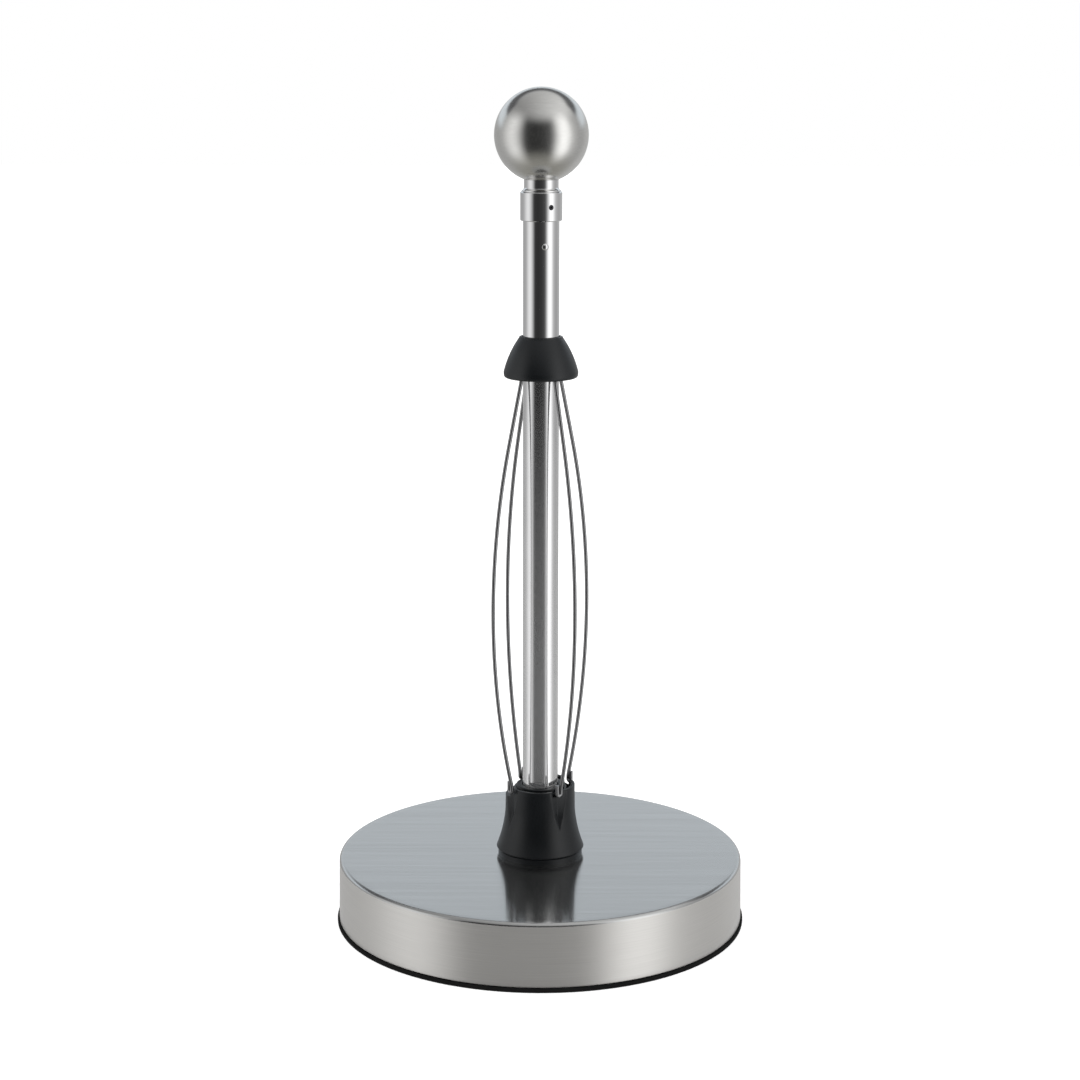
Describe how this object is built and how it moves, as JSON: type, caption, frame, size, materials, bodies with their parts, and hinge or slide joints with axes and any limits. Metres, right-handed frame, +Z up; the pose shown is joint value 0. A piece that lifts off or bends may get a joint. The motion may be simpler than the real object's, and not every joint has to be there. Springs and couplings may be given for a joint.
{
  "type": "paper towel holder",
  "caption": "Countertop paper towel holder with a weighted round base, ball-topped pole and a sprung wire cage that grips the core and turns with the roll.",
  "frame": {"origin": "middle of the underside of the base pad", "axes": "+Z up along the pole, -Y the front; the first cage wire stands 35.8 degrees from the front towards +X"},
  "size_m": [0.182, 0.182, 0.3675],
  "materials": {
    "brushed_steel": "fine satin-brushed stainless steel, grain running one way",
    "polished_steel": "mirror-polished stainless steel",
    "spring_wire": "bright drawn stainless spring wire",
    "black_plastic": "satin black moulded plastic",
    "black_rubber": "matt non-slip rubber sheet",
    "cast_iron": "as cast",
    "zinc_steel": "zinc-plated steel",
    "black_steel": "black oxide",
    "white_acetal": "natural acetal"
  },
  "bodies": {
    "base": {"base_cover": "brushed_steel", "base_weight": "cast_iron", "base_plate": "zinc_steel", "plate_screws": "zinc_steel", "base_pad": "black_rubber", "pole_bolt": "zinc_steel", "bolt_washer": "zinc_steel", "pole_tube": "polished_steel", "pole_foot_plug": "zinc_steel", "pole_top_plug": "zinc_steel", "plug_rivet": "polished_steel", "finial_collar": "polished_steel", "collar_screw": "black_steel", "finial_stud": "zinc_steel", "finial_ball": "brushed_steel", "ball_boss": "zinc_steel", "ratchet_ring": "black_plastic", "ring_screws": "zinc_steel", "retaining_clip": "black_steel"},
    "hub": {"hub_shell": "black_plastic", "hub_core": "black_plastic", "hub_bushing": "white_acetal", "thrust_washer": "white_acetal", "hub_cap": "black_plastic", "detent_spring_a": "spring_wire", "detent_spring_b": "spring_wire", "cage_wire_1": "spring_wire", "cage_wire_2": "spring_wire", "cage_wire_3": "spring_wire", "cage_wire_4": "spring_wire"},
    "plunger_a": {"detent_plunger_a": "white_acetal"},
    "plunger_b": {"detent_plunger_b": "white_acetal"},
    "bell": {"bell_shell": "black_plastic", "bell_insert": "black_plastic"}
  },
  "joints": [
    {"name": "cage_spin", "type": "hinge", "parent": "base", "child": "hub", "pos_m": [0, 0, 0.045], "axis": [0, 0, 1], "continuous": true},
    {"name": "bell_slide", "type": "slide", "parent": "hub", "child": "bell", "axis": [0, 0, 1], "range_m": [0, 0.0016], "stiffness_N_per_m": 3000},
    {"name": "plunger_a_lift", "type": "slide", "parent": "hub", "child": "plunger_a", "axis": [0, 0, 1], "range_m": [0, 0.001], "stiffness_N_per_m": 600, "springref_m": -0.002, "deforming": ["detent_spring_a"]},
    {"name": "plunger_b_lift", "type": "slide", "parent": "hub", "child": "plunger_b", "axis": [0, 0, 1], "range_m": [0, 0.001], "stiffness_N_per_m": 600, "springref_m": -0.002, "deforming": ["detent_spring_b"]}
  ],
  "couplings": [
    {"joint": "plunger_b_lift", "follows": "plunger_a_lift", "ratio": 1}
  ]
}
